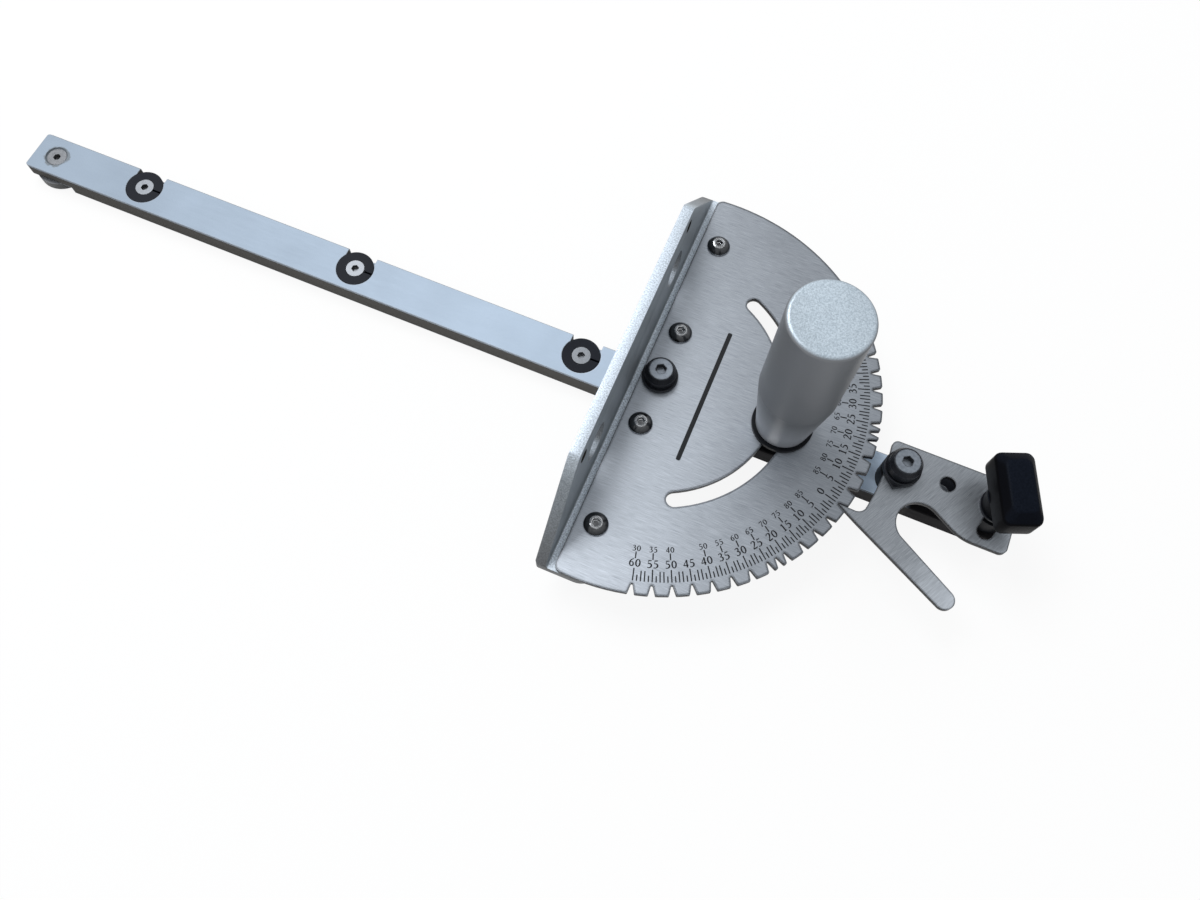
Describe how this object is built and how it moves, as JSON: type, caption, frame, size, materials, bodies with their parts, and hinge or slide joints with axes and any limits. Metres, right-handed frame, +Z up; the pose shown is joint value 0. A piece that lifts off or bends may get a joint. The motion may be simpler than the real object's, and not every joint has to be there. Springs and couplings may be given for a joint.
{
  "type": "miter gauge",
  "caption": "Table saw miter gauge: slot bar with expansion discs, notched protractor head with L fence, toothed index lever, clamping handle and lock knob.",
  "frame": {"origin": "on the underside of the bar, beneath the head pivot", "axes": "+X runs along the bar toward the handle, lever and lock knob, +Z is up, and the fence faces -X"},
  "size_m": [0.4621, 0.1836, 0.1077],
  "materials": {
    "bar_metal": "matt bright zinc plate",
    "black_plastic": "moulded, satin",
    "bright_steel": "bright zinc plate",
    "black_steel": "black oxide, turned",
    "polished_black_steel": "black chrome",
    "grey_steel": "plain steel",
    "plate_steel": "brushed stainless",
    "blasted_aluminium": "bead blasted, anodised",
    "handle_aluminium": "bead blasted, anodised",
    "brass": "plain"
  },
  "bodies": {
    "bar": {"miter_bar": "bar_metal", "expansion_disc_1": "black_plastic", "expansion_disc_2": "black_plastic", "expansion_disc_3": "black_plastic", "expansion_disc_4": "black_plastic", "disc_screw_1": "bright_steel", "disc_screw_2": "bright_steel", "disc_screw_3": "bright_steel", "disc_screw_4": "bright_steel", "retaining_washer": "black_steel", "retaining_screw": "black_steel", "head_spacer": "black_plastic", "head_pivot_bush": "black_steel", "head_pivot_screw": "grey_steel", "clamp_spacer": "black_plastic", "clamp_stud": "grey_steel", "lever_spacer": "black_plastic", "lever_pivot_bush": "black_steel", "lever_pivot_screw": "grey_steel", "lock_spacer": "black_plastic", "lock_stud": "grey_steel"},
    "head": {"protractor_plate": "plate_steel", "fence_bracket": "blasted_aluminium", "plate_screw_1": "polished_black_steel", "plate_screw_2": "polished_black_steel", "plate_screw_3": "polished_black_steel", "plate_screw_4": "polished_black_steel"},
    "handle": {"clamp_handle": "handle_aluminium", "clamp_washer": "black_plastic"},
    "lever": {"index_lever": "plate_steel"},
    "knob": {"lock_knob": "black_plastic", "lock_insert": "brass", "lock_washer": "bright_steel"}
  },
  "joints": [
    {"name": "head_turn", "type": "hinge", "parent": "bar", "child": "head", "pos_m": [0, 0, 0.0183], "axis": [0, 0, 1], "range_deg": [-60.01, 60.01]},
    {"name": "handle_turn", "type": "hinge", "parent": "bar", "child": "handle", "pos_m": [0.0533, 0, 0.0203], "axis": [0, 0, 1], "continuous": true},
    {"name": "lever_swing", "type": "hinge", "parent": "bar", "child": "lever", "pos_m": [0.1035, 0, 0.0183], "axis": [0, 0, 1], "range_deg": [0, 17]},
    {"name": "knob_turn", "type": "hinge", "parent": "bar", "child": "knob", "pos_m": [0.143, 0, 0.0203], "axis": [0, 0, 1], "continuous": true}
  ]
}
